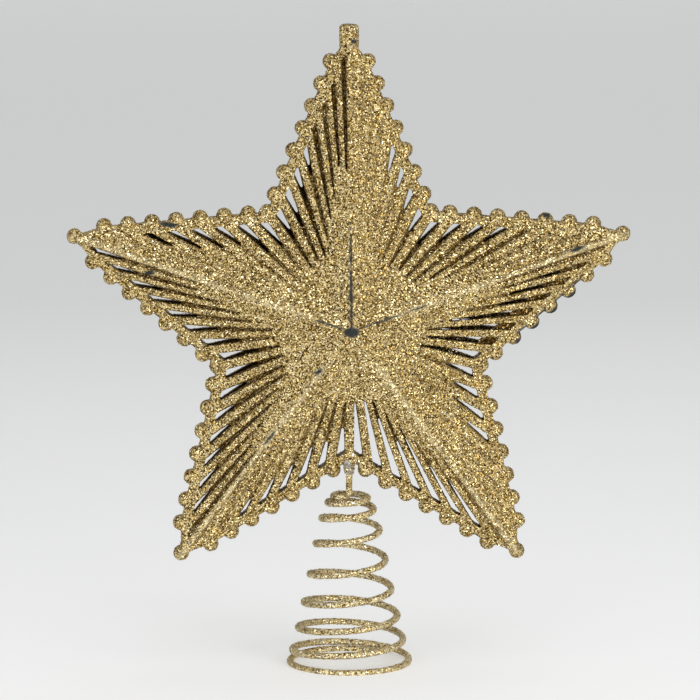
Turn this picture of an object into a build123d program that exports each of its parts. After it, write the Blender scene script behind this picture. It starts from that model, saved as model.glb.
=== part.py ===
"""Christmas tree topper: a five-point star of two ribbed shells on a conical wire spring.

Millimetres, +Z up, the star's front towards -Y. The origin lies on the floor, on the spring's axis.
"""
from build123d import *
import math
import os

# Star outline, measured from the star's centre
arm_count = 5
corner_reach = 49.5         # to the centre of an inner corner bead
row_meet_reach = 109.5      # to where the two bead rows of an arm would meet
tip_inset = 7.0             # from there back to the centre of the tip bead

# Beads along the rim
first_bead_step = 6.8       # corner bead to the first bead of a row
bead_pitch = 8.55
row_end_room = 12.0         # at least, from a row's last bead to where the rows would meet
bead_diameter = 5.7

# Shell, of which the star has a front one and a back one
apex_depth = 22.0           # mid-plane to the apex
rim_depth = 2.2             # mid-plane to the front of the rim bar
rim_inset = 0.1             # from the line of beads in to the outer edge of the rim bar
rim_inside = 3.4            # and in to its inner edge
wall = 2.2                  # rib thickness, square to its facet
rib_lead = 1.5              # degrees from a bead to its rib, towards the ridge
slit_share = 0.5            # share of the angle between two ribs that is open at the rim
slit_start_room = 1.1       # a slit starts where its share of the room between two ribs is this wide
slit_start_reach = 24.0     # and at least this far from the star's axis
slit_start_width = 0.4      # width of a slit at its inner end

# Knob on the upper tip, measured from the centre of the tip bead that it covers
knob_diameter = 7.0
knob_rise = 4.2             # up to the knob's top
knob_sink = 4.0             # down to the knob's foot
knob_round = 1.2

# Wire spring, with its turns counted from the stem's bend
wire_diameter = 2.3
coil_turns = 7.75           # down to the floor
coil_top_radius = 5.6
coil_base_radius = 22.0
top_pitch = 0.4
widest_turn = 3.15          # where the pitch is widest
widest_pitch = 11.6
base_pitch = 7.3
landing_turns = 0.4         # over which the pitch eases to nothing at the floor
floor_turns = 0.58          # lying on the floor
tail_gap = 1.7              # between the wire's end and the circle of the base turn
floor_flat = 0.5            # depth of the flat that the base turn stands on
steps_per_turn = 4          # pairs of arcs in a turn
stem_length = 13.3          # from the top turn to the centre of the lower corner bead
stem_inside = 14.0          # stem above that centre

# Glue that holds the stem in the star
glue_wall = 0.5             # round the stem, through the rim
glue_fit = 0.1              # between the stem and the glue
collar_wall = 0.45          # how much wider than that the collar under the corner bead is
glue_drop = 2.4             # how far the collar runs down the stem
glue_lip = 0.3              # thickness of its lower end
glue_rise = 1.6             # how far the glue runs up the stem, inside the rim

half_arm = 180 / arm_count
arm_angles = [2 * half_arm * arm for arm in range(arm_count)]
tip_reach = row_meet_reach - tip_inset
bead_radius = bead_diameter / 2
wire_radius = wire_diameter / 2
glue_hole_radius = wire_radius + glue_wall


def star_point(reach, angle, depth=0.0):
    """Point of a shell, from its distance to the star's axis and its angle from the upper arm."""
    turn = math.radians(angle)
    return Vector(-reach * math.sin(turn), reach * math.cos(turn), depth)


def crossing(point_a, way_a, point_b, way_b):
    """Where two lines of a plane meet, each given by a point and a direction."""
    gap = point_b - point_a
    along = (gap.X * way_b.Y - gap.Y * way_b.X) / (way_a.X * way_b.Y - way_a.Y * way_b.X)
    return point_a + way_a * along


def outline(points):
    """Flat face inside a closed row of points."""
    return make_face(Polyline(points, close=True))


# Left half of the upper arm: its row of beads, from the corner towards the tip
corner = star_point(corner_reach, half_arm)
tip = star_point(tip_reach, 0)
row = star_point(row_meet_reach, 0) - corner
row_way = row.normalized()
beads_per_row = 1 + int((row.length - first_bead_step - row_end_room) / bead_pitch)
row_beads = [corner + row_way * (first_bead_step + bead_pitch * bead) for bead in range(beads_per_row)]

# Slope of the left facet of the upper arm
apex = Vector(0, 0, apex_depth)
facet_corner = star_point(corner_reach, half_arm, rim_depth)
facet_meet = star_point(row_meet_reach, 0, rim_depth)
facet_normal = (facet_meet - apex).cross(facet_corner - apex).normalized()


def bead_line():
    """Face inside the line of beads: through the tips, the last beads of the rows and the corners."""
    last_bead = row_beads[-1]
    mirrored_bead = Vector(-last_bead.X, last_bead.Y)
    arm = (mirrored_bead, tip, last_bead, corner)
    return outline([point.rotate(Axis.Z, angle) for angle in arm_angles for point in arm])


def rim_band():
    """Face of the rim bar, along the line of beads."""
    line = bead_line()
    return offset(line, -rim_inset) - offset(line, -rim_inside)


def rib_angles():
    """Angles of the ribs from the ridge to the valley, seen from the front."""
    beside_beads = [math.degrees(math.atan2(-bead.X, bead.Y)) - rib_lead for bead in reversed(row_beads)]
    return [0, *beside_beads, half_arm]


def slit_outline(middle_angle, open_angle):
    """Corners of a slit, from its narrow inner end to the rim bar, if it has any length."""
    start = max(slit_start_room / math.radians(open_angle), slit_start_reach)
    middle = star_point(start, middle_angle)
    half_start = star_point(slit_start_width / 2, middle_angle + 90)
    rim_point = corner + Vector(row_way.Y, -row_way.X) * rim_inside
    ends = [crossing(Vector(0, 0), star_point(1, middle_angle + side * open_angle / 2), rim_point, row_way)
            for side in (-1, 1)]
    if start >= min(end.length for end in ends):
        return None
    return [middle - half_start, middle + half_start, ends[1], ends[0]]


def facet_slits():
    """Cutters for the slits of one facet, straight through from the front, one between each two ribs."""
    ribs = rib_angles()
    slits = [slit_outline((near + far) / 2, slit_share * (far - near)) for near, far in zip(ribs, ribs[1:])]
    return [extrude(outline(corners), apex_depth) for corners in slits if corners]


def facet_wedge(share):
    """Wedge from the star's axis out to the facet, or a smaller one with a parallel facet."""
    base = outline([
        Vector(0, 0, rim_depth),
        star_point(row_meet_reach * share, 0, rim_depth),
        star_point(corner_reach * share, half_arm, rim_depth),
    ])
    top = Vertex(0, 0, rim_depth + (apex_depth - rim_depth) * share)
    return loft([base, top], ruled=True)


def half_beads(places):
    """Front halves of the beads at these places."""
    half_bead = Sphere(bead_radius, arc_size1=0, align=(Align.CENTER, Align.CENTER, Align.MIN))
    return [Pos(place) * half_bead for place in places]


def make_half_arm():
    """Half of the upper arm of a shell: one ribbed facet with its rim and its row of beads."""
    facet_distance = (apex_depth - rim_depth) * facet_normal.Z
    ribs = facet_wedge(1) - facet_wedge(1 - wall / facet_distance) - facet_slits()
    ribs &= extrude(offset(bead_line(), -rim_inset), apex_depth)
    far = 2 * row_meet_reach
    sector = extrude(outline([Vector(0, 0), star_point(far, 0), star_point(far, half_arm)]), apex_depth)
    rim = extrude(rim_band(), rim_depth) & sector
    return ribs + rim + half_beads(row_beads)


def make_knob():
    """Half of the round knob that covers the upper tip's bead."""
    knob = Cylinder(knob_diameter / 2, knob_rise + knob_sink, align=(Align.CENTER, Align.CENTER, Align.MAX))
    knob = fillet(knob.edges().group_by(Axis.Z)[-1], knob_round)
    knob = Pos(0, tip_reach + knob_rise) * Rot(-90, 0, 0) * knob
    return split(knob, bisect_by=Plane.XY, keep=Keep.TOP)


def make_shell():
    """One shell, with its mid-plane at z = 0 and its apex towards +Z."""
    half = make_half_arm()
    arm = [half, mirror(half, about=Plane.YZ)]
    halves = [Rot(0, 0, angle) * side for angle in arm_angles for side in arm]
    star = halves[0].fuse(*halves[1:])
    star += half_beads([point.rotate(Axis.Z, angle) for angle in arm_angles for point in (corner, tip)])
    hole = Cylinder(glue_hole_radius, 2 * (bead_radius + rim_inside))
    return star + make_knob() - Pos(star_point(corner_reach, 180)) * Rot(90, 0, 0) * hole


def coil_radius(turn):
    """Radius of the spring's wire: a steady cone, then tucked in on the floor."""
    on_cone = min(turn / coil_turns, 1)
    on_floor = max((turn - coil_turns) / floor_turns, 0)
    tuck = (wire_diameter + tail_gap) * on_floor ** 2
    return coil_top_radius + (coil_base_radius - coil_top_radius) * on_cone - tuck


def coil_climb(turn):
    """Height of the wire above its base turn: the area under the line of its pitch."""
    landing = coil_turns - landing_turns
    knots = [(0, top_pitch), (widest_turn, widest_pitch), (landing, base_pitch), (coil_turns, 0)]
    climb = 0
    for (turn_a, pitch_a), (turn_b, pitch_b) in zip(knots, knots[1:]):
        start = min(max(turn, turn_a), turn_b)
        pitch_start = pitch_a + (pitch_b - pitch_a) * (start - turn_a) / (turn_b - turn_a)
        climb += (pitch_start + pitch_b) / 2 * (turn_b - start)
    return climb


def coil_point(turn):
    """Centre of the wire: turn 0 is on the left, and the wire runs down behind the axis first."""
    angle = 2 * math.pi * turn
    radius = coil_radius(turn)
    height = wire_radius - floor_flat + coil_climb(turn)
    return Vector(-radius * math.cos(angle), radius * math.sin(angle), height)


def coil_way(turn):
    """Direction of the wire, towards its lower end."""
    step = 0.001
    return (coil_point(turn + step) - coil_point(turn - step)).normalized()


# The star stands on the stem, with its two shells back to back on one mid-plane
corner_height = coil_point(0).Z + stem_length
star_centre = Vector(0, 0, corner_height + corner_reach)
front_place = Plane(origin=star_centre, x_dir=(1, 0, 0), z_dir=(0, -1, 0))
back_place = Plane(origin=star_centre, x_dir=(-1, 0, 0), z_dir=(0, 1, 0))


def biarc(start, start_way, end, end_way):
    """Two arcs, tangent where they meet, from one point and direction to another."""
    chord = end - start
    along = chord.dot(start_way + end_way)
    spread = 2 * (1 - start_way.dot(end_way))
    reach = (math.sqrt(along * along + spread * chord.dot(chord)) - along) / spread
    middle = (start + end + (start_way - end_way) * reach) / 2
    first = TangentArc(start, middle, tangent=start_way)
    return [first, TangentArc(middle, end, tangent=first % 1)]


def spring_path():
    """Centre line of the wire, from the stem's upper end to the tail on the floor."""
    slant = math.sqrt(0.5)
    bend = coil_top_radius / (1 + 2 * slant)
    start = coil_point(0)
    foot = Vector(0, 0, start.Z + bend)
    turned = Vector(-bend * slant, -bend * slant, start.Z)
    edges = [
        Line((0, 0, corner_height + stem_inside), foot),
        TangentArc(foot, turned, tangent=(0, 0, -1)),
        TangentArc(turned, start, tangent=(-slant, -slant, 0)),
    ]
    last_turn = coil_turns + floor_turns
    steps = round(last_turn * steps_per_turn)
    way = Vector(0, 1, 0)
    for step in range(steps):
        end = coil_point(last_turn * (step + 1) / steps)
        end_way = coil_way(last_turn * (step + 1) / steps)
        edges += biarc(start, way, end, end_way)
        start = end
        way = end_way
    edges.append(Line(start, start + way * wire_diameter))
    return edges


def least_gap(edges, samples=24):
    """Smallest clear distance from the wire to itself, past its own neighbourhood."""
    neighbourhood = 3 * wire_diameter
    places = []
    run = 0
    for edge in edges:
        for sample in range(samples):
            places.append((run + edge.length * sample / samples, tuple(edge @ (sample / samples))))
        run += edge.length
    apart = [math.dist(a, b) for i, (at_a, a) in enumerate(places) for at_b, b in places[:i]
             if at_a - at_b > neighbourhood]
    return min(apart) - wire_diameter


def make_spring():
    """Stem and conical spring, one unbroken wire that stands on a flat under its base turn."""
    edges = spring_path()
    section = Plane(origin=edges[0] @ 0, z_dir=edges[0] % 0) * Circle(wire_radius)
    wire = sweep(section, path=Wire(edges))
    length = sum(edge.length for edge in edges)
    print(f"spring wire length {length:.1f}, least gap to itself {least_gap(edges):.2f}")
    print(f"spring volume {wire.volume:.1f}, section times length {math.pi * wire_radius ** 2 * length:.1f}")
    return split(wire, bisect_by=Plane.XY, keep=Keep.TOP)


def make_glue():
    """Glue round the stem: a collar under the corner bead, and a sleeve through the rim."""
    bore = wire_radius + glue_fit
    collar_radius = glue_hole_radius + collar_wall
    bead_bottom = corner_height - bead_radius
    rim_top = corner_height + bead_radius
    collar = revolve(outline([
        Vector(bore, 0, bead_bottom - glue_drop),
        Vector(bore + glue_lip, 0, bead_bottom - glue_drop),
        Vector(collar_radius, 0, bead_bottom),
        Vector(collar_radius, 0, corner_height),
        Vector(bore, 0, corner_height),
    ]), axis=Axis.Z)
    collar -= Pos(0, 0, corner_height) * Sphere(bead_radius)
    collar -= front_place * extrude(rim_band(), rim_depth, both=True)
    sleeve = revolve(outline([
        Vector(bore, 0, bead_bottom - glue_drop),
        Vector(bore + glue_lip, 0, bead_bottom - glue_drop),
        Vector(glue_hole_radius, 0, bead_bottom),
        Vector(glue_hole_radius, 0, rim_top),
        Vector(bore, 0, rim_top + glue_rise),
    ]), axis=Axis.Z)
    return collar + sleeve


shell = make_shell()
parts = {
    "front_shell": front_place * shell,
    "back_shell": back_place * shell,
    "spring_wire": make_spring(),
    "stem_glue": make_glue(),
}

os.makedirs("parts", exist_ok=True)
for name, part in parts.items():
    export_step(part, f"parts/{name}.step")
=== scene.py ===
"""Glittered christmas tree topper star on its wire spring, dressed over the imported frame."""
import math

import bmesh
import bpy
import numpy as np
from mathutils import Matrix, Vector


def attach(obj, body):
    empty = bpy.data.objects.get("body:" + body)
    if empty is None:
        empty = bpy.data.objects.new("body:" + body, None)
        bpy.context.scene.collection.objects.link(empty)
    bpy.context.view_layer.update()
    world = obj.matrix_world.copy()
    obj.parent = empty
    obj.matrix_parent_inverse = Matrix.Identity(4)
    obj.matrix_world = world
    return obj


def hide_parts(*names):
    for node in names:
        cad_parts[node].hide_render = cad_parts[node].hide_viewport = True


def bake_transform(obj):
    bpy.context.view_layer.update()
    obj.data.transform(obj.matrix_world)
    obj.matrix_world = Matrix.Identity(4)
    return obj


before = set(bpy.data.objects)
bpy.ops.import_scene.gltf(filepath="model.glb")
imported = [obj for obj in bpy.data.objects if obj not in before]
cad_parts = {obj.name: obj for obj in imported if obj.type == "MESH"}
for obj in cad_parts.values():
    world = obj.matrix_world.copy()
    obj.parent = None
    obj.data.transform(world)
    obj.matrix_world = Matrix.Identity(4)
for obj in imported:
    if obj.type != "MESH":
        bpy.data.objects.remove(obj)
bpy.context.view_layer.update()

# Lengths are metres: +Z up, the star's front towards -Y, the origin on the floor under the spring
mm = 0.001
star_centre_height = 123.5 * mm

# Signs along Y of the star's front and back
to_front = -1
to_back = 1

# Star form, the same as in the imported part
half_arm = 36.0
corner_reach = 49.5 * mm
row_meet_reach = 109.5 * mm
tip_reach = 102.5 * mm
apex_depth = 22.0 * mm
rim_depth = 2.2 * mm
rim_inside = 3.4 * mm
first_bead_step = 6.8 * mm
bead_pitch = 8.55 * mm
beads_per_row = 7
rib_lead = 1.5

# Glitter coat over the moulded shells
weld_distance = 0.001 * mm
coat_voxel = 0.33 * mm
coat_faces = 190_000
coat_grain = 0.05 * mm
cell_size = 0.43 * mm
clump_size = 2.5 * mm
worn_facing = 0.3

# Glitter that clogs the slits and fills the necks behind the tip beads
clog_thickness = 0.9 * mm
clog_bank = 0.25 * mm
clog_apex_share = 0.85
clog_spread = (0.8, 1.2)
neck_inside_tip = 3.6 * mm
neck_depth = 1.5 * mm
neck_radii = (2.7 * mm, 1.6 * mm, 2.7 * mm)

# Loose flakes on the coat
flake_radius = 0.22 * mm
flake_size_spread = (0.75, 1.2)
flake_lean = 0.30
flake_lift = 0.05 * mm
flake_sides = 6
tint_steps = 64
shell_flakes = 48_000
spring_flakes = 16_000
glue_flakes = 150
cover_power = 3

# Spring wire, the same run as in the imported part
wire_radius = 1.15 * mm
coil_turns = 7.75
coil_top_radius = 5.6 * mm
coil_base_radius = 22.0 * mm
top_pitch = 0.4 * mm
widest_turn = 3.15
widest_pitch = 11.6 * mm
base_pitch = 7.3 * mm
landing_turns = 0.4
floor_turns = 0.58
tail_gap = 1.7 * mm
floor_flat = 0.5 * mm
stem_top = 88.0 * mm

# Rings of the wire's coat
stem_samples = 40
coil_samples = 1200
ring_step = 0.4 * mm
ring_points = 18
rings_per_lump = 4
wire_grain = 0.06 * mm

# Hot-melt glue at the lower corner bead
corner_height = 74.0 * mm
glue_voxel = 0.16 * mm

# Camera, from the photograph's view of the star
photo_width_px = 700
photo_scale = 0.3565 * mm
view_distance = 1.78
view_down = 8.6
view_left = 2.1
star_px = (349.1, 322.9)
sensor_width_mm = 36


def tone(red, green, blue):
    """Linear colour from the 0 to 255 values that a screen shows."""
    share = np.array([red, green, blue]) / 255
    linear = np.where(share <= 0.04045, share / 12.92, ((share + 0.055) / 1.055) ** 2.4)
    return (*linear.tolist(), 1.0)


def ease(low, high, value):
    """Smooth step from 0 at low to 1 at high."""
    share = np.clip((value - low) / (high - low), 0, 1)
    return share * share * (3 - 2 * share)


def add_piece(name, mesh):
    piece = bpy.data.objects.new(name, mesh)
    bpy.context.scene.collection.objects.link(piece)
    return piece


def vertex_places(mesh):
    places = np.empty(len(mesh.vertices) * 3, np.float32)
    mesh.vertices.foreach_get("co", places)
    return places.reshape(-1, 3)


def vertex_normals(mesh):
    normals = np.empty(len(mesh.vertices) * 3, np.float32)
    mesh.vertex_normals.foreach_get("vector", normals)
    return normals.reshape(-1, 3)


def move_vertices(mesh, places):
    mesh.vertices.foreach_set("co", places.astype(np.float32).ravel())
    mesh.update()


def store(mesh, name, kind, domain, field, values):
    attribute = mesh.attributes.new(name, kind, domain)
    attribute.data.foreach_set(field, np.asarray(values, np.float32).ravel())


def keep_rest_places(mesh):
    """The places at rest, so that a pattern stays on a piece that bends."""
    store(mesh, "rest_place", "FLOAT_VECTOR", "POINT", "vector", vertex_places(mesh))


def apply_modifiers(piece):
    bpy.context.view_layer.update()
    shaped = piece.evaluated_get(bpy.context.evaluated_depsgraph_get())
    mesh = bpy.data.meshes.new_from_object(shaped)
    piece.modifiers.clear()
    piece.data = mesh


def remesh(piece, voxel, rounds):
    """One even skin over a piece, with its edges rounded."""
    skin = piece.modifiers.new("skin", "REMESH")
    skin.mode = "VOXEL"
    skin.voxel_size = voxel
    soften = piece.modifiers.new("soften", "SMOOTH")
    soften.factor = 0.5
    soften.iterations = rounds
    apply_modifiers(piece)


def roughen(mesh, grain, seed):
    places = vertex_places(mesh)
    lifts = np.random.default_rng(seed).uniform(-grain, grain, len(places))
    move_vertices(mesh, places + vertex_normals(mesh) * lifts[:, None])


def thin_out(piece, faces):
    mesh = piece.data
    mesh.calc_loop_triangles()
    thin = piece.modifiers.new("thin", "DECIMATE")
    thin.ratio = min(1, faces / len(mesh.loop_triangles))
    apply_modifiers(piece)


def node_copy(node, name):
    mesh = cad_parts[node].data.copy()
    mesh.materials.clear()
    welded = bmesh.new()
    welded.from_mesh(mesh)
    bmesh.ops.remove_doubles(welded, verts=welded.verts, dist=weld_distance)
    welded.to_mesh(mesh)
    welded.free()
    return add_piece(name, mesh)


def star_plan(reach, angle):
    """Place in the star's plane, to the viewer's right and up from its centre."""
    turn = math.radians(angle)
    return np.array([-reach * math.sin(turn), reach * math.cos(turn)])


def bead_row():
    """Where the bead row of the upper arm's right half starts, and its run from there."""
    corner = star_plan(corner_reach, -half_arm)
    return corner, star_plan(row_meet_reach, 0) - corner


def out_of_row(row):
    """Direction across a bead row, out of the star."""
    return np.array([row[1], -row[0]])


def facet_lean(plan):
    """How far out a place on the upper arm's right half lies: 0 at the apex, 1 at the bead row."""
    corner, row = bead_row()
    out = out_of_row(row)
    return plan @ out / (corner @ out)


def on_upper_arm(places):
    """Places of the star folded onto the right half of its upper arm, in the star's plane."""
    across = places[:, 0]
    up = places[:, 2] - star_centre_height
    reach = np.hypot(across, up)
    angle = np.degrees(np.arctan2(across, up))
    folded = np.radians(np.abs((angle + half_arm) % (2 * half_arm) - half_arm))
    return np.stack([reach * np.sin(folded), reach * np.cos(folded)], axis=1)


def facet_depth(lean):
    return apex_depth - (apex_depth - rim_depth) * lean


def rib_angles():
    """Degrees from the ridge to each rib of a facet, the valley's rib first."""
    corner, row = bead_row()
    steps = first_bead_step + bead_pitch * np.arange(beads_per_row)
    beads = corner + row / np.linalg.norm(row) * steps[:, None]
    return [half_arm, *(np.degrees(np.arctan2(beads[:, 0], beads[:, 1])) - rib_lead), 0.0]


def rim_reach(angle, inset):
    """Reach from the star's axis, at an angle from the ridge, to a line inside the bead row."""
    along = star_plan(1, -angle)
    corner, row = bead_row()
    out = out_of_row(row) / np.linalg.norm(row)
    return (corner @ out - inset) / (along @ out)


def add_blob(target, place, radii):
    """A ball, stretched to its radii, in a mesh under construction."""
    ball = bmesh.ops.create_icosphere(target, subdivisions=3, radius=1)
    for vert in ball["verts"]:
        vert.co = Vector(place) + Vector(vert.co[axis] * radii[axis] for axis in range(3))


def add_sheet(target, front_way, arm, side, ring):
    """A thin sheet on one half of an arm.

    The ring is its outline, as it lies on the upper arm's right half, in pairs of a place and
    its depth below the facet.
    """
    turn = math.radians(arm)
    to_arm = np.array([[math.cos(turn), -math.sin(turn)], [math.sin(turn), math.cos(turn)]])
    corners = []
    for thickness in (0, clog_thickness):
        for plan, recess in ring:
            depth = facet_depth(facet_lean(plan)) - recess - thickness
            across, up = to_arm @ (plan * (-side, 1))
            corners.append(target.verts.new((across, depth * front_way, star_centre_height + up)))
    count = len(ring)
    outer = corners[:count]
    inner = corners[count:]
    target.faces.new(outer)
    target.faces.new(inner[::-1])
    for first in range(count):
        second = (first + 1) % count
        target.faces.new((outer[second], outer[first], inner[first], inner[second]))


def add_clog(target, front_way, arm, side, open_slits, open_run, recesses, seed):
    """Glue and glitter that fill each slit of a facet to a V.

    The recesses are the depth of the V beside the valley and beside the ridge. The slits nearest
    the valley stay open at their outer ends, and there only the banks of the V run on.
    """
    random = np.random.default_rng(seed)
    ribs = rib_angles()
    for slit, (rib, following) in enumerate(zip(ribs, ribs[1:])):
        middle = (rib + following) / 2
        run = open_run * random.uniform(*clog_spread) * (slit < open_slits)
        recess = np.interp(slit, (0, beads_per_row), recesses) * random.uniform(*clog_spread)
        apex = (star_plan(0, 0), clog_apex_share * recess)
        trough = (star_plan(rim_reach(middle, rim_inside) - run, -middle), recess)
        for flank in ((rib + middle) / 2, (following + middle) / 2):
            bank = (star_plan(rim_reach(flank, rim_inside / 2), -flank), clog_bank)
            add_sheet(target, front_way, arm, side, [apex, bank, trough])


def add_ledge(target, front_way, arm, side, width, recess):
    """A ledge behind the outer ends of a facet's slits, but for those beside its valley and ridge. It
    lies deep, so the coat's painted shade darkens it.
    """
    ribs = rib_angles()[1:-1]
    ring = [(star_plan(rim_reach(rib, rim_inside / 2), -rib), recess) for rib in ribs]
    ring += [(star_plan(rim_reach(rib, rim_inside + width), -rib), recess) for rib in reversed(ribs)]
    add_sheet(target, front_way, arm, side, ring)


def fill_neck(target, front_way, arm):
    """Glitter between a tip's bead and the rows of beads behind it."""
    across, up = star_plan(tip_reach - neck_inside_tip, arm)
    place = (across, neck_depth * front_way, star_centre_height + up)
    add_blob(target, place, neck_radii)


def clog_front(target):
    """Slits that the photograph shows closed towards the apex, and those that it shows dark there,
    which lie deep so that the coat's painted shade darkens them.
    """
    add_clog(target, to_front, arm=0, side=-1, open_slits=4, open_run=10 * mm,
             recesses=(1.2 * mm, 0.3 * mm), seed=1)
    add_clog(target, to_front, arm=0, side=1, open_slits=4, open_run=15 * mm,
             recesses=(2.0 * mm, 2.0 * mm), seed=2)
    add_clog(target, to_front, arm=72, side=-1, open_slits=6, open_run=16 * mm,
             recesses=(1.4 * mm, 0.3 * mm), seed=3)
    add_clog(target, to_front, arm=72, side=1, open_slits=8, open_run=15 * mm,
             recesses=(1.8 * mm, 1.5 * mm), seed=4)
    add_clog(target, to_front, arm=144, side=-1, open_slits=7, open_run=14 * mm,
             recesses=(2.0 * mm, 1.4 * mm), seed=5)
    add_clog(target, to_front, arm=144, side=1, open_slits=6, open_run=14 * mm,
             recesses=(1.6 * mm, 0.7 * mm), seed=6)
    add_clog(target, to_front, arm=216, side=-1, open_slits=7, open_run=34 * mm,
             recesses=(1.6 * mm, 1.2 * mm), seed=7)
    add_clog(target, to_front, arm=216, side=1, open_slits=4, open_run=14 * mm,
             recesses=(0.8 * mm, 0.3 * mm), seed=8)
    add_clog(target, to_front, arm=-72, side=-1, open_slits=7, open_run=34 * mm,
             recesses=(1.6 * mm, 1.2 * mm), seed=9)
    add_clog(target, to_front, arm=-72, side=1, open_slits=4, open_run=11 * mm,
             recesses=(2.0 * mm, 0.7 * mm), seed=10)
    add_ledge(target, to_front, arm=-72, side=-1, width=4.5 * mm, recess=1.9 * mm)
    for arm in (72, 144, 216, -72):
        fill_neck(target, to_front, arm)


def clog_back(target):
    """A few such slits on the side that the photograph doesn't show."""
    add_clog(target, to_back, arm=0, side=1, open_slits=4, open_run=12 * mm,
             recesses=(1.0 * mm, 0.4 * mm), seed=11)
    add_clog(target, to_back, arm=72, side=-1, open_slits=5, open_run=14 * mm,
             recesses=(1.2 * mm, 0.4 * mm), seed=12)
    add_clog(target, to_back, arm=-72, side=1, open_slits=5, open_run=16 * mm,
             recesses=(1.6 * mm, 0.6 * mm), seed=13)


def clog_slits(piece, add_clogs):
    joined = bmesh.new()
    joined.from_mesh(piece.data)
    add_clogs(joined)
    bmesh.ops.recalc_face_normals(joined, faces=joined.faces)
    joined.to_mesh(piece.data)
    joined.free()


def worn_spot(places, facing, across, up, length, width, turn=0.0):
    """How bare the coat is at a worn spot, given from the star's centre in millimetres and degrees."""
    core = 0.75
    edge = 1.25
    right = places[:, 0] / mm - across
    above = (places[:, 2] - star_centre_height) / mm - up
    angle = math.radians(turn)
    along = right * math.cos(angle) + above * math.sin(angle)
    beside = above * math.cos(angle) - right * math.sin(angle)
    from_middle = np.hypot(along / (length / 2), beside / (width / 2))
    return ease(edge, core, from_middle) * (facing > 0)


def bare_rim(places, normals, arm, side, row_start, row_end):
    """How bare the outer flanks of the beads along a row are, from one share of the row to another."""
    row_fade = 0.02
    on_rim = (0.95, 0.97)
    on_flank = (0.3, 0.6)
    turn = math.radians(arm)
    across = places[:, 0] * math.cos(turn) + (places[:, 2] - star_centre_height) * math.sin(turn)
    up = (places[:, 2] - star_centre_height) * math.cos(turn) - places[:, 0] * math.sin(turn)
    plan = np.stack([-side * across, up], axis=1)
    corner, row = bead_row()
    share = (plan - corner) @ row / (row @ row)
    out = star_plan(1, arm + side * math.degrees(math.atan2(row[1], -row[0])))
    outward = normals[:, 0] * out[0] + normals[:, 2] * out[1]
    near = ease(*on_rim, facet_lean(plan)) * (plan[:, 0] > 0)
    along = ease(row_start - row_fade, row_start, share) * ease(row_end + row_fade, row_end, share)
    return ease(*on_flank, outward) * near * along


def front_wear(places, normals):
    """Spots where the photograph shows dark plastic through the glitter."""
    facing = -normals[:, 1] - worn_facing
    spots = [
        worn_spot(places, facing, across=0.1, up=-0.2, length=6.0, width=3.8),
        worn_spot(places, facing, across=0.0, up=22.0, length=34.0, width=0.9, turn=90),
        worn_spot(places, facing, across=0.0, up=10.0, length=20.0, width=1.3, turn=90),
        worn_spot(places, facing, across=11.0, up=3.6, length=15.0, width=0.9, turn=18),
        worn_spot(places, facing, across=24.0, up=7.8, length=7.0, width=0.9, turn=18),
        worn_spot(places, facing, across=-8.0, up=2.6, length=11.0, width=0.9, turn=-18),
        worn_spot(places, facing, across=-11.5, up=-14.6, length=3.4, width=1.8, turn=40),
        worn_spot(places, facing, across=-28.8, up=-39.2, length=7.5, width=1.1, turn=54),
        worn_spot(places, facing, across=-64.0, up=36.0, length=7.0, width=1.8, turn=-6),
        worn_spot(places, facing, across=-71.0, up=19.5, length=3.8, width=1.8, turn=15),
        worn_spot(places, facing, across=81.0, up=27.0, length=6.0, width=1.4, turn=18),
        worn_spot(places, facing, across=70.2, up=38.5, length=3.0, width=2.0),
        worn_spot(places, facing, across=1.5, up=101.0, length=2.6, width=1.8),
        bare_rim(places, normals, arm=-72, side=-1, row_start=0.2, row_end=0.62),
    ]
    return np.max(spots, axis=0)


def back_wear(places, normals):
    """A few such spots on the ridges that the photograph doesn't show."""
    facing = normals[:, 1] - worn_facing
    spots = [
        worn_spot(places, facing, across=0.3, up=-0.2, length=3.2, width=3.0),
        worn_spot(places, facing, across=0.0, up=27.0, length=22.0, width=0.8, turn=90),
        worn_spot(places, facing, across=-24.0, up=8.0, length=12.0, width=0.8, turn=-18),
        worn_spot(places, facing, across=9.0, up=-12.5, length=3.0, width=1.4, turn=-54),
        worn_spot(places, facing, across=62.0, up=36.0, length=5.0, width=1.6, turn=4),
    ]
    return np.max(spots, axis=0)


def deep_share(places, facing, front_way):
    """How deep in a slit a place of the coat lies, or how far it is turned to the inside. Fewer flakes
    land there, and the coat's material paints shade there from this share.
    """
    slit_depths = (0.35 * mm, 1.3 * mm)
    slit_leans = (0.93, 0.91)
    inside_facing = (0.1, -0.5)
    lean = facet_lean(on_upper_arm(places))
    below = facet_depth(lean) - places[:, 1] * front_way
    in_slit = ease(*slit_depths, below) * ease(*slit_leans, lean)
    return np.maximum(in_slit, ease(*inside_facing, facing))


def crest_share(places):
    """How near a place is to the ridge of an arm, away from the centre and off the upper arm. The
    glitter is thinner there, and the coat is painted paler there as a highlight along the ridges.
    """
    beside_ridge = (1.7 * mm, 0.3 * mm)
    from_centre = (8 * mm, 22 * mm)
    plan = on_upper_arm(places)
    up = places[:, 2] - star_centre_height
    off_upper_arm = np.abs(places[:, 0]) > up * math.tan(math.radians(half_arm))
    return ease(*beside_ridge, plan[:, 0]) * ease(*from_centre, plan[:, 1]) * off_upper_arm


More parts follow.
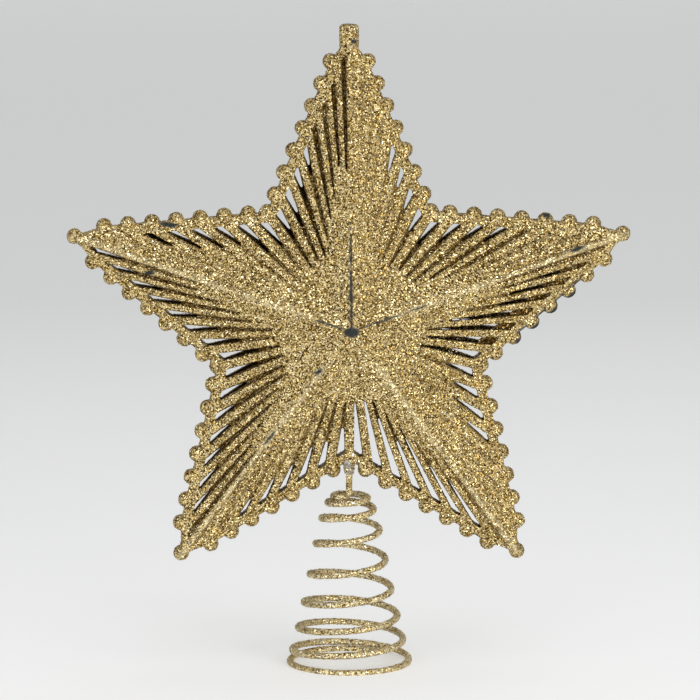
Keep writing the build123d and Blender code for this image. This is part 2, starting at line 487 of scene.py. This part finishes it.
def make_coat(node, name, front_way, add_clogs, wear, seed):
    """A shell's coat: rounded edges, a fine grain, and thin glitter inside and where it is worn."""
    deep_thinning = 0.7
    crest_thinning = 0.15
    crest_facing = 0.2
    piece = node_copy(node, name)
    clog_slits(piece, add_clogs)
    remesh(piece, coat_voxel, rounds=5)
    roughen(piece.data, coat_grain, seed)
    thin_out(piece, coat_faces)
    mesh = piece.data
    places = vertex_places(mesh)
    normals = vertex_normals(mesh)
    facing = normals[:, 1] * front_way
    bare = wear(places, normals)
    # deep thins the glitter here, and the material paints shade from it
    deep = deep_share(places, facing, front_way)
    crest = crest_share(places)
    covered = (1 - bare) * (1 - deep_thinning * deep) * (1 - crest_thinning * crest)
    store(mesh, "bare", "FLOAT", "POINT", "value", bare)
    store(mesh, "deep", "FLOAT", "POINT", "value", deep)
    store(mesh, "covered", "FLOAT", "POINT", "value", covered)
    # crest marks where the material paints a highlight along the front of the ridges
    store(mesh, "crest", "FLOAT", "POINT", "value", crest * (facing > crest_facing))
    keep_rest_places(mesh)
    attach(piece, "star")
    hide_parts(node)
    return piece


def coil_radius(turn):
    on_cone = np.minimum(turn / coil_turns, 1)
    on_floor = np.maximum((turn - coil_turns) / floor_turns, 0)
    tuck = (2 * wire_radius + tail_gap) * on_floor ** 2
    return coil_top_radius + (coil_base_radius - coil_top_radius) * on_cone - tuck


def coil_climb(turn):
    """Height above the base turn: the area under the line of the pitch."""
    landing = coil_turns - landing_turns
    knots = [(0, top_pitch), (widest_turn, widest_pitch), (landing, base_pitch), (coil_turns, 0)]
    climb = 0
    for (turn_a, pitch_a), (turn_b, pitch_b) in zip(knots, knots[1:]):
        start = np.clip(turn, turn_a, turn_b)
        pitch_start = pitch_a + (pitch_b - pitch_a) * (start - turn_a) / (turn_b - turn_a)
        climb = climb + (pitch_start + pitch_b) / 2 * (turn_b - start)
    return climb


def coil_points(turn):
    angle = 2 * math.pi * turn
    radius = coil_radius(turn)
    height = wire_radius - floor_flat + coil_climb(turn)
    return np.stack([-radius * np.cos(angle), radius * np.sin(angle), height], axis=1)


def stem_points():
    """The stem from its upper end, its bend, and the arc out to the first turn."""
    swing_start = math.radians(315)
    swing_turn = math.radians(135)
    start = coil_points(np.array([0.0]))[0]
    slant = math.sqrt(0.5)
    bend = coil_top_radius / (1 + 2 * slant)
    share = np.linspace(0, 1, stem_samples, endpoint=False)[:, None]
    foot = np.array([0, 0, start[2] + bend])
    straight = np.array([0, 0, stem_top]) * (1 - share) + foot * share
    down = share * math.pi / 2
    out = np.array([-slant, -slant, 0])
    arc = foot + bend * (out * (1 - np.cos(down)) - np.array([0, 0, 1]) * np.sin(down))
    swing = swing_start - share * swing_turn
    middle = np.array([-coil_top_radius + bend, 0, start[2]])
    sweep = bend * np.concatenate([np.cos(swing), np.sin(swing), 0 * swing], axis=1)
    return np.concatenate([straight, arc, middle + sweep])


def even_steps(points, step):
    """Points at even steps along a line of points."""
    run = np.concatenate([[0], np.cumsum(np.linalg.norm(np.diff(points, axis=0), axis=1))])
    at = np.linspace(0, run[-1], round(run[-1] / step) + 1)
    return np.stack([np.interp(at, run, points[:, axis]) for axis in range(3)], axis=1)


def wire_centre_line():
    """Middle of the wire, from the stem's upper end to the tail on the floor."""
    stem = stem_points()
    coil = coil_points(np.linspace(0, coil_turns + floor_turns, coil_samples))
    tail_way = coil[-1] - coil[-2]
    tail = coil[-1] + tail_way / np.linalg.norm(tail_way) * 2 * wire_radius
    return even_steps(np.concatenate([stem, coil, tail[None]]), ring_step)


def ring_frames(centres):
    """Two directions across the wire at each ring, carried along it without twist."""
    ways = np.gradient(centres, axis=0)
    ways /= np.linalg.norm(ways, axis=1)[:, None]
    side = np.array([1.0, 0.0, 0.0])
    sides = []
    for way in ways:
        side = side - way * side.dot(way)
        side = side / np.linalg.norm(side)
        sides.append(side)
    sides = np.array(sides)
    return sides, np.cross(ways, sides)


def tube_faces(rings):
    """Quads between neighbouring rings, and a face at each end."""
    ring = np.arange(rings - 1)[:, None] * ring_points
    point = np.arange(ring_points)[None]
    following = (point + 1) % ring_points
    quads = np.stack([ring + point, ring + following,
                      ring + ring_points + following, ring + ring_points + point], axis=2)
    faces = quads.reshape(-1, 4).tolist()
    last = (rings - 1) * ring_points
    faces.append(list(range(ring_points))[::-1])
    faces.append(list(range(last, last + ring_points)))
    return faces


def blend_along_wire(piece, middles):
    """Move each point to the wire's middle beside it, bake the piece's transform into the mesh, and
    move the points back.
    """
    mesh = piece.data
    places = vertex_places(mesh)
    move_vertices(mesh, middles)
    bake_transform(piece)
    move_vertices(mesh, places)


def lumpy_radii(rings, random):
    """The wire's radius round each ring: lumps along it and a fine grain."""
    knots = rings // rings_per_lump
    lumps = np.interp(np.linspace(0, knots, rings), np.arange(knots + 1),
                      random.uniform(-wire_grain, wire_grain, knots + 1))
    grains = random.uniform(-wire_grain, wire_grain, (rings, ring_points))
    return wire_radius + lumps[:, None] + grains


def make_spring_coat(seed):
    """The wire with its lumpy coat of glitter, flat where it stands on the floor."""
    random = np.random.default_rng(seed)
    centres = wire_centre_line()
    sides, crosses = ring_frames(centres)
    angles = np.linspace(0, 2 * math.pi, ring_points, endpoint=False)[None, :, None]
    radii = lumpy_radii(len(centres), random)
    across = sides[:, None] * np.cos(angles) + crosses[:, None] * np.sin(angles)
    places = (centres[:, None] + across * radii[:, :, None]).reshape(-1, 3)
    places[:, 2] = np.maximum(places[:, 2], 0)
    mesh = bpy.data.meshes.new("spring_coat")
    mesh.from_pydata(places.tolist(), [], tube_faces(len(centres)))
    mesh.update()
    keep_rest_places(mesh)
    store(mesh, "covered", "FLOAT", "POINT", "value", np.ones(len(places)))
    middles = np.repeat(centres, ring_points, axis=0)
    piece = add_piece("spring_coat", mesh)
    blend_along_wire(piece, middles)
    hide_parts("spring_wire")
    return piece, middles


def pick_places(host, count, random, carried):
    """Random places on a coat, none where it is bare, with the normals and carried values there."""
    mesh = host.data
    mesh.calc_loop_triangles()
    corners = np.empty(len(mesh.loop_triangles) * 3, np.int32)
    mesh.loop_triangles.foreach_get("vertices", corners)
    corners = corners.reshape(-1, 3)
    places = vertex_places(mesh)
    normals = vertex_normals(mesh)
    covered = np.empty(len(places), np.float32)
    mesh.attributes["covered"].data.foreach_get("value", covered)
    first, second, third = places[corners].transpose(1, 0, 2)
    areas = np.linalg.norm(np.cross(second - first, third - first), axis=1)
    weights = areas * covered[corners].mean(axis=1) ** cover_power
    chosen = corners[random.choice(len(corners), count, p=weights / weights.sum())]
    shares = random.dirichlet((1, 1, 1), count)[:, :, None]
    return [(values[chosen] * shares).sum(axis=1) for values in (places, normals, carried)]


def tint_cells(tints, ring):
    """Each flake's corners in a square map, where flakes of one tint share a cell."""
    cell_middle = 0.5
    cell_reach = 0.3
    per_side = round(math.sqrt(tint_steps))
    cells = np.stack([tints % per_side, tints // per_side], axis=1) / per_side
    return cells[:, None] + 1 / per_side * (cell_middle + cell_reach * ring)[None]


def scatter_flakes(host, name, count, seed, carried):
    """Six-sided flakes lying at slightly different leans on a coat."""
    random = np.random.default_rng(seed)
    places, normals, carried_there = pick_places(host, count, random, carried)
    leans = normals / np.linalg.norm(normals, axis=1)[:, None]
    leans = leans + random.normal(0, flake_lean, (count, 3))
    leans /= np.linalg.norm(leans, axis=1)[:, None]
    sides = np.cross(leans, random.normal(0, 1, (count, 3)))
    sides /= np.linalg.norm(sides, axis=1)[:, None]
    crosses = np.cross(leans, sides)
    angles = np.linspace(0, 2 * math.pi, flake_sides, endpoint=False)
    ring = np.stack([np.cos(angles), np.sin(angles)], axis=1)
    radii = flake_radius * random.uniform(*flake_size_spread, count)
    spread = sides[:, None] * ring[None, :, :1] + crosses[:, None] * ring[None, :, 1:]
    corners = (places + normals * flake_lift)[:, None] + spread * radii[:, None, None]
    corners[:, :, 2] = np.maximum(corners[:, :, 2], 0)
    mesh = bpy.data.meshes.new(name)
    faces = np.arange(count * flake_sides).reshape(-1, flake_sides)
    mesh.from_pydata(corners.reshape(-1, 3).tolist(), [], faces.tolist())
    mesh.update()
    tints = random.integers(0, tint_steps, count)
    store(mesh, "tint", "FLOAT", "FACE", "value", tints / (tint_steps - 1))
    inside = tint_cells(tints, ring)
    mesh.uv_layers.new(name="OFBake").data.foreach_set("uv", inside.astype(np.float32).ravel())
    return add_piece(name, mesh), np.repeat(carried_there, flake_sides, axis=0)


def dress_shell(node, name, front_way, add_clogs, wear, coat_paint, flake_paint, seed):
    """A shell's coat and its loose flakes."""
    coat = make_coat(node, f"{name}_coat", front_way, add_clogs, wear, seed)
    coat.data.materials.append(coat_paint)
    places = vertex_places(coat.data)
    flakes, _ = scatter_flakes(coat, f"{name}_glitter", shell_flakes, seed + 1, places)
    flakes.data.materials.append(flake_paint)
    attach(flakes, "star")


def dress_spring(coat_paint, flake_paint, seed):
    """The wire's coat and its loose flakes."""
    coat, middles = make_spring_coat(seed)
    coat.data.materials.append(coat_paint)
    flakes, flake_middles = scatter_flakes(coat, "spring_glitter", spring_flakes, seed + 1, middles)
    flakes.data.materials.append(flake_paint)
    blend_along_wire(flakes, flake_middles)


def dress_glue(paint, flake_paint, seed):
    """The glue round the stem, its smear on the corner bead's front, and glitter caught low on it."""
    smear_place = (-0.7 * mm, -2.5 * mm, corner_height - 1.4 * mm)
    smear_radii = (1.5 * mm, 0.8 * mm, 2.1 * mm)
    drip_place = (-0.2 * mm, -1.9 * mm, corner_height - 3.1 * mm)
    drip_radii = (1.3 * mm, 0.8 * mm, 1.2 * mm)
    glitter_heights = (corner_height - 0.5 * mm, corner_height - 3.0 * mm)
    piece = node_copy("stem_glue", "glue_blob")
    joined = bmesh.new()
    joined.from_mesh(piece.data)
    add_blob(joined, smear_place, smear_radii)
    add_blob(joined, drip_place, drip_radii)
    joined.to_mesh(piece.data)
    joined.free()
    remesh(piece, glue_voxel, rounds=4)
    piece.data.shade_smooth()
    piece.data.materials.append(paint)
    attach(piece, "star")
    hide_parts("stem_glue")
    places = vertex_places(piece.data)
    caught = ease(*glitter_heights, places[:, 2])
    store(piece.data, "covered", "FLOAT", "POINT", "value", caught)
    flakes, _ = scatter_flakes(piece, "glue_glitter", glue_flakes, seed, places)
    flakes.data.materials.append(flake_paint)
    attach(flakes, "star")


def new_material(name):
    material = bpy.data.materials.new(name)
    material.use_nodes = True
    return material, material.node_tree, material.node_tree.nodes["Principled BSDF"]


def add_node(tree, kind, **settings):
    node = tree.nodes.new(kind)
    for setting, value in settings.items():
        setattr(node, setting, value)
    return node


def feed(tree, socket, source):
    """Give a socket a value, or the output of another node."""
    if isinstance(source, bpy.types.NodeSocket):
        tree.links.new(source, socket)
    else:
        socket.default_value = source


def work_out(tree, operation, *sources):
    node = add_node(tree, "ShaderNodeMath", operation=operation)
    for socket, source in zip(node.inputs, sources):
        feed(tree, socket, source)
    return node.outputs["Value"]


def work_out_vector(tree, operation, *sources):
    node = add_node(tree, "ShaderNodeVectorMath", operation=operation)
    for socket, source in zip(node.inputs, sources):
        feed(tree, socket, source)
    return node.outputs["Vector"]


def spread_to(tree, source, low, high, to_low, to_high):
    node = add_node(tree, "ShaderNodeMapRange", clamp=True)
    for socket, value in zip(node.inputs, (source, low, high, to_low, to_high)):
        feed(tree, socket, value)
    return node.outputs["Result"]


def ramp(tree, share, stops):
    """Colours along a ramp, from (place, colour) pairs."""
    node = add_node(tree, "ShaderNodeValToRGB")
    elements = node.color_ramp.elements
    elements[0].position, elements[0].color = stops[0]
    elements[-1].position, elements[-1].color = stops[-1]
    for place, colour in stops[1:-1]:
        elements.new(place).color = colour
    feed(tree, node.inputs["Fac"], share)
    return node.outputs["Color"]


def mix_colours(tree, share, first, second):
    node = add_node(tree, "ShaderNodeMix", data_type="RGBA")
    feed(tree, node.inputs["Factor"], share)
    feed(tree, node.inputs["A"], first)
    feed(tree, node.inputs["B"], second)
    return node.outputs["Result"]


def read_attribute(tree, name, output):
    return add_node(tree, "ShaderNodeAttribute", attribute_name=name).outputs[output]


def cells_at(tree, size, feature, output):
    node = add_node(tree, "ShaderNodeTexVoronoi", feature=feature)
    feed(tree, node.inputs["Vector"], read_attribute(tree, "rest_place", "Vector"))
    feed(tree, node.inputs["Scale"], 1 / size)
    return node.outputs[output]


def clouds_at(tree, size):
    node = add_node(tree, "ShaderNodeTexNoise")
    feed(tree, node.inputs["Vector"], read_attribute(tree, "rest_place", "Vector"))
    feed(tree, node.inputs["Scale"], 1 / size)
    return node.outputs["Fac"]


# Colours of the glitter, from its darkest flakes to its brightest, and of what it lies on
gold_stops = [
    (0.0, tone(42, 24, 1)),
    (0.25, tone(112, 84, 28)),
    (0.5, tone(185, 154, 80)),
    (0.7, tone(237, 213, 149)),
    (1.0, tone(249, 234, 192)),
]
# The same glitter painted paler for the wire and the glue's flakes: painted light that brightens them
painted_lit_gold_stops = [
    (0.0, tone(70, 44, 4)),
    (0.2, tone(154, 120, 50)),
    (0.42, tone(238, 212, 138)),
    (0.65, tone(254, 240, 194)),
    (1.0, tone(255, 249, 227)),
]
# Pale gold painted along the ridges as a highlight
painted_ridge_highlight = tone(226, 211, 168)
# Dark gold for the gaps between cells and the darker clumps, and as painted shade deep in slits and on
# inner faces
dark_gold_and_painted_shade = tone(66, 42, 4)
dark_plastic = tone(38, 42, 42)
bare_steel = tone(96, 92, 84)


def coat_colour(tree, tint, deep, stops):
    """Tints of the cells: darker between them and in clumps, with painted shade deep in slits and on
    inner faces, and a painted highlight along the ridges.
    """
    clump_range = (0.35, 0.65)
    gold = ramp(tree, tint, stops)
    edge = cells_at(tree, cell_size, "DISTANCE_TO_EDGE", "Distance")
    between = spread_to(tree, edge, low=0.0, high=0.12, to_low=0.5, to_high=0.0)
    gold = mix_colours(tree, between, gold, dark_gold_and_painted_shade)
    clumps = clouds_at(tree, clump_size)
    in_clump = spread_to(tree, clumps, *clump_range, to_low=0.2, to_high=0.0)
    gold = mix_colours(tree, in_clump, gold, dark_gold_and_painted_shade)
    # Painted highlight: paler along the front of the ridges, patchy with the clumps
    crest = spread_to(tree, clumps, *clump_range, to_low=0.1, to_high=0.8)
    crest = work_out(tree, "MULTIPLY", crest, read_attribute(tree, "crest", "Fac"))
    gold = mix_colours(tree, crest, gold, painted_ridge_highlight)
    # Painted shade: darker towards dark gold the deeper the coat lies in a slit and the more it faces
    # inwards
    painted_recess_shade = spread_to(tree, deep, low=0.0, high=1.0, to_low=0.0, to_high=0.75)
    return mix_colours(tree, painted_recess_shade, gold, dark_gold_and_painted_shade)


def cell_normal(tree, chance, bare):
    """The surface's normal with a lean for each cell, small where the coat is bare."""
    lean = work_out_vector(tree, "SUBTRACT", chance, (0.5, 0.5, 0.5))
    amount = spread_to(tree, bare, low=0.0, high=1.0, to_low=1.1, to_high=0.1)
    scaled = add_node(tree, "ShaderNodeVectorMath", operation="SCALE")
    feed(tree, scaled.inputs["Vector"], lean)
    feed(tree, scaled.inputs["Scale"], amount)
    normal = add_node(tree, "ShaderNodeNewGeometry").outputs["Normal"]
    leaning = work_out_vector(tree, "ADD", normal, scaled.outputs["Vector"])
    return work_out_vector(tree, "NORMALIZE", leaning)


def coat_material(name, base, stops):
    """Close-lying glitter over a base, each cell a flake with its own tint, gloss and lean."""
    material, tree, shader = new_material(name)
    bare = read_attribute(tree, "bare", "Fac")
    deep = read_attribute(tree, "deep", "Fac")
    chance = cells_at(tree, cell_size, "F1", "Color")
    parts = add_node(tree, "ShaderNodeSeparateColor")
    feed(tree, parts.inputs["Color"], chance)
    gold = coat_colour(tree, parts.outputs["Red"], deep, stops)
    feed(tree, shader.inputs["Base Color"], mix_colours(tree, bare, gold, base))
    rough = spread_to(tree, parts.outputs["Green"], low=0.0, high=1.0, to_low=0.3, to_high=0.55)
    feed(tree, shader.inputs["Roughness"], work_out(tree, "MAXIMUM", rough, bare))
    # Deep down the coat is fully metallic, so its painted dark colour darkens its reflections too:
    # painted shade
    metal = spread_to(tree, deep, low=0.0, high=1.0, to_low=0.75, to_high=1.0)
    coated = work_out(tree, "SUBTRACT", 1.0, bare)
    feed(tree, shader.inputs["Metallic"], work_out(tree, "MULTIPLY", metal, coated))
    feed(tree, shader.inputs["Normal"], cell_normal(tree, chance, bare))
    return material


def flake_material(name, stops):
    """Loose metal-coated flakes, each of one tint."""
    material, tree, shader = new_material(name)
    tint = read_attribute(tree, "tint", "Fac")
    feed(tree, shader.inputs["Base Color"], ramp(tree, tint, stops))
    shader.inputs["Metallic"].default_value = 0.85
    shader.inputs["Roughness"].default_value = 0.46
    return material


def glue_material():
    """Cloudy hot-melt glue, uneven in colour and gloss."""
    clouds_per_metre = 900.0
    material, tree, shader = new_material("hot_melt_glue")
    noise = add_node(tree, "ShaderNodeTexNoise")
    feed(tree, noise.inputs["Vector"], add_node(tree, "ShaderNodeTexCoord").outputs["Object"])
    feed(tree, noise.inputs["Scale"], clouds_per_metre)
    clouds = noise.outputs["Fac"]
    stops = [(0.3, tone(120, 108, 84)), (0.5, tone(168, 160, 142)), (0.7, tone(196, 190, 176))]
    feed(tree, shader.inputs["Base Color"], ramp(tree, clouds, stops))
    rough = spread_to(tree, clouds, low=0.3, high=0.7, to_low=0.2, to_high=0.4)
    feed(tree, shader.inputs["Roughness"], rough)
    shader.inputs["Transmission Weight"].default_value = 0.25
    return material


def floor_material():
    """Pale paper with painted light: its colour, and a glow that only camera, glossy and transmission
    rays see, are brightest near the object and painted darker away from it, behind it and before it
    under the lamps.
    """
    front_end = -2.4
    back_end = 3.4
    under_lamps = 0.14
    before_object = 0.36
    behind_object = 0.57
    material, tree, shader = new_material("studio_paper")
    parts = add_node(tree, "ShaderNodeSeparateXYZ")
    feed(tree, parts.inputs["Vector"], add_node(tree, "ShaderNodeTexCoord").outputs["Object"])
    run = work_out(tree, "ADD", parts.outputs["Y"], parts.outputs["Z"])
    share = spread_to(tree, run, low=front_end, high=back_end, to_low=0.0, to_high=1.0)
    # The paper's colour, painted darker away from the object and under the lamps: painted falloff of
    # light
    paper = [
        (under_lamps, tone(170, 171, 171)),
        (before_object, tone(232, 233, 233)),
        (behind_object, tone(222, 224, 223)),
        (1.0, tone(206, 209, 208)),
    ]
    feed(tree, shader.inputs["Base Color"], ramp(tree, share, paper))
    shader.inputs["Roughness"].default_value = 0.9
    path = add_node(tree, "ShaderNodeLightPath")
    seen = work_out(tree, "MAXIMUM", path.outputs["Is Camera Ray"], path.outputs["Is Glossy Ray"])
    seen = work_out(tree, "MAXIMUM", seen, path.outputs["Is Transmission Ray"])
    # Painted glow: the paper shines for camera, glossy and transmission rays, brightest near the object
    painted_glow = [
        (under_lamps, tone(0, 0, 0)),
        (before_object, tone(168, 168, 168)),
        (behind_object, tone(128, 128, 128)),
        (1.0, tone(172, 172, 172)),
    ]
    feed(tree, shader.inputs["Emission Color"], ramp(tree, share, painted_glow))
    feed(tree, shader.inputs["Emission Strength"], seen)
    return material


def make_stage():
    """Pale paper: a floor that curves up into the backdrop."""
    half_width = 8.0
    front = -8.0
    bend_start = 3.2
    bend_radius = 0.8
    bend_steps = 24
    height = 2.4
    profile = [(front, 0.0), (bend_start, 0.0)]
    for step in range(1, bend_steps + 1):
        angle = math.radians(90 * step / bend_steps)
        rise = bend_radius * (1 - math.cos(angle))
        profile.append((bend_start + bend_radius * math.sin(angle), rise))
    profile.append((bend_start + bend_radius, height))
    places = [(side * half_width, y, z) for y, z in profile for side in (-1, 1)]
    faces = [(2 * i, 2 * i + 1, 2 * i + 3, 2 * i + 2) for i in range(len(profile) - 1)]
    mesh = bpy.data.meshes.new("paper_sweep")
    mesh.from_pydata(places, [], faces)
    mesh.shade_smooth()
    mesh.materials.append(floor_material())
    add_piece("paper_sweep", mesh)


def add_softbox(name, place, aim, width, height, power):
    light = bpy.data.lights.new(name, "AREA")
    light.shape = "RECTANGLE"
    light.size = width
    light.size_y = height
    light.energy = power
    lamp = add_piece(name, light)
    lamp.location = place
    lamp.rotation_euler = (Vector(aim) - Vector(place)).to_track_quat("-Z", "Y").to_euler()


def make_lights():
    """A wide softbox above, a low one on each side of the camera, and an even room around."""
    aim = (0, 0, star_centre_height)
    add_softbox("softbox_above", (0.2, 0.0, 1.6), aim, width=2.2, height=1.6, power=7.6)
    add_softbox("softbox_left", (-1.2, -1.7, 0.28), aim, width=0.9, height=0.4, power=12.4)
    add_softbox("softbox_right", (1.1, -1.7, 0.22), aim, width=0.9, height=0.4, power=26)
    world = bpy.data.worlds.new("studio_room")
    world.use_nodes = True
    room = world.node_tree.nodes["Background"]
    room.inputs["Color"].default_value = tone(150, 150, 150)
    room.inputs["Strength"].default_value = 1.2
    bpy.context.scene.world = world


def make_camera():
    """The photograph's view: far off, a little above and to the left of the star."""
    down = math.radians(view_down)
    left = math.radians(view_left)
    star = Vector((0, 0, star_centre_height))
    level = math.cos(down)
    towards_camera = Vector((-math.sin(left) * level, -math.cos(left) * level, math.sin(down)))
    middle_px = photo_width_px / 2
    aim = star.copy()
    aim.x += (middle_px - star_px[0]) * photo_scale
    aim.z -= (middle_px - star_px[1]) * photo_scale / level
    data = bpy.data.cameras.new("photo_camera")
    data.sensor_width = sensor_width_mm
    data.lens = data.sensor_width * view_distance / (photo_width_px * photo_scale)
    camera = add_piece("photo_camera", data)
    camera.location = star + towards_camera * view_distance
    camera.rotation_euler = (aim - camera.location).to_track_quat("-Z", "Y").to_euler()
    bpy.context.scene.camera = camera


# The scene
make_camera()
make_stage()
make_lights()
shell_paint = coat_material("glittered_plastic", dark_plastic, gold_stops)
# The wire and the glue's flakes take the paler colours of painted light
wire_paint = coat_material("glittered_wire", bare_steel, painted_lit_gold_stops)
shell_flake_paint = flake_material("gold_flakes", gold_stops)
wire_flake_paint = flake_material("painted_lit_gold_flakes", painted_lit_gold_stops)
dress_shell("front_shell", "front", to_front, clog_front, front_wear,
            shell_paint, shell_flake_paint, seed=11)
dress_shell("back_shell", "back", to_back, clog_back, back_wear,
            shell_paint, shell_flake_paint, seed=21)
dress_spring(wire_paint, wire_flake_paint, seed=31)
dress_glue(glue_material(), wire_flake_paint, seed=41)
bpy.context.scene.view_settings.view_transform = "Standard"
